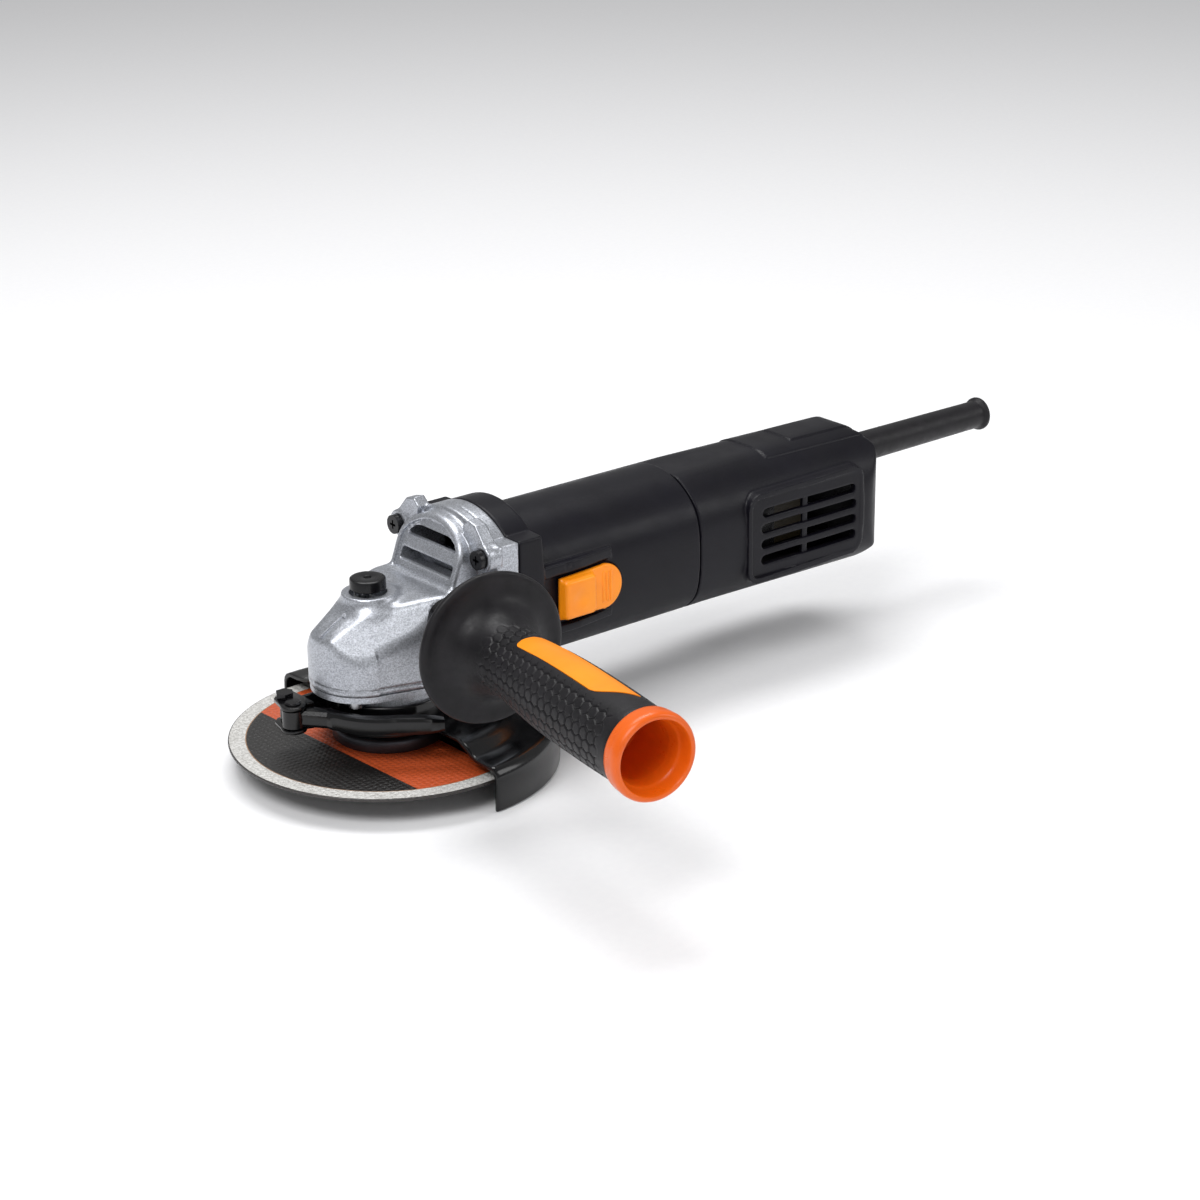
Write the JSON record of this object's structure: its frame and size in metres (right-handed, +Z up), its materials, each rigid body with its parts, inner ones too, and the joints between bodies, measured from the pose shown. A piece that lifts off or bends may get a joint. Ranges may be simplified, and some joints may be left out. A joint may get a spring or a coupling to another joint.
{
  "type": "angle grinder",
  "caption": "Slim corded angle grinder for 125 mm discs with side handle, tool-free guard, slide switch and a complete motor and bevel gear inside.",
  "frame": {"origin": "on the spindle axis, in the plane of the clamp nut's outer flange face, where a pin spanner goes on", "axes": "+Z up along the spindle away from the disc, +X back along the motor towards the cord, -Y towards the side handle"},
  "size_m": [0.3895, 0.2467, 0.097],
  "materials": {
    "silver_paint": "fine sparkling silver paint on a die casting",
    "steel": "turned",
    "black_screw": "black",
    "bronze": "satin",
    "black_plastic": "fine spark texture, satin",
    "dark_plastic": "smooth",
    "yellow_plastic": "smooth",
    "orange_plastic": "satin",
    "black_rubber": "matt",
    "laminations": "stacked sheet",
    "copper": "enamelled copper wire",
    "carbon": "carbon",
    "dark_steel": "blackened steel",
    "abrasive": "resin-bonded grit with woven mesh and a printed label",
    "black_enamel": "gloss black"
  },
  "bodies": {
    "machine": {"gear_case": "silver_paint", "bearing_cover": "silver_paint", "cover_screw_1": "steel", "cover_screw_2": "steel", "cover_screw_3": "steel", "cover_screw_4": "steel", "case_screw_1": "black_screw", "case_screw_2": "black_screw", "case_screw_3": "black_screw", "case_screw_4": "black_screw", "spindle_bearing": "steel", "spindle_bush": "bronze", "motor_bearing_front": "steel", "motor_bearing_rear": "steel", "fan_baffle": "black_plastic", "stator_core": "laminations", "field_coil_upper": "copper", "field_coil_lower": "copper", "motor_housing": "black_plastic", "brush_holder_upper": "bronze", "brush_holder_lower": "bronze", "carbon_brush_upper": "carbon", "carbon_brush_lower": "carbon", "rear_cover": "black_plastic", "rear_screw_1": "black_screw", "rear_screw_2": "black_screw", "mains_switch": "dark_plastic", "capacitor": "yellow_plastic", "cord_clamp": "dark_plastic", "clamp_screw_1": "steel", "clamp_screw_2": "steel", "cord_sleeve": "black_rubber", "handle_stud": "steel", "handle_core": "orange_plastic", "handle_grip": "black_rubber", "lock_spring": "steel"},
    "spindle_group": {"spindle": "steel", "bevel_gear": "steel", "inner_flange": "dark_steel", "cutting_disc": "abrasive", "disc_ring": "steel", "clamp_nut": "dark_steel"},
    "armature_group": {"armature_shaft": "steel", "pinion": "steel", "pinion_nut": "steel", "fan": "dark_plastic", "armature_core": "laminations", "armature_windings": "copper", "commutator": "copper"},
    "guard_group": {"guard_shell": "black_enamel", "guard_band": "black_enamel", "guard_bracket": "black_enamel", "lever_pin": "black_screw", "clamp_bolt": "black_screw"},
    "lever_group": {"clamp_lever": "black_enamel"},
    "switch_group": {"switch_slider": "orange_plastic", "switch_link": "dark_plastic"},
    "lock_group": {"lock_button": "dark_plastic", "lock_pin": "steel"}
  },
  "joints": [
    {"name": "spindle_spin", "type": "hinge", "parent": "machine", "child": "spindle_group", "pos_m": [0, 0, 0.0045], "axis": [0, 0, 1], "continuous": true},
    {"name": "armature_spin", "type": "hinge", "parent": "machine", "child": "armature_group", "pos_m": [0.06, 0, 0.0535], "axis": [1, 0, 0], "continuous": true},
    {"name": "guard_turn", "type": "hinge", "parent": "machine", "child": "guard_group", "pos_m": [0, 0, 0.02], "axis": [0, 0, 1], "range_deg": [-90, 35]},
    {"name": "lever_swing", "type": "hinge", "parent": "guard_group", "child": "lever_group", "pos_m": [-0.0415, 0.0035, 0.022], "axis": [0, 0, -1], "range_deg": [0, 60]},
    {"name": "switch_slide", "type": "slide", "parent": "machine", "child": "switch_group", "axis": [-1, 0, 0], "range_m": [0, 0.007]},
    {"name": "spindle_lock", "type": "slide", "parent": "machine", "child": "lock_group", "axis": [0, 0, -1], "range_m": [0, 0.0045], "stiffness_N_per_m": 400, "springref_m": -0.002, "deforming": ["lock_spring"]}
  ],
  "couplings": [
    {"joint": "armature_spin", "follows": "spindle_spin", "ratio": 2.8462}
  ]
}
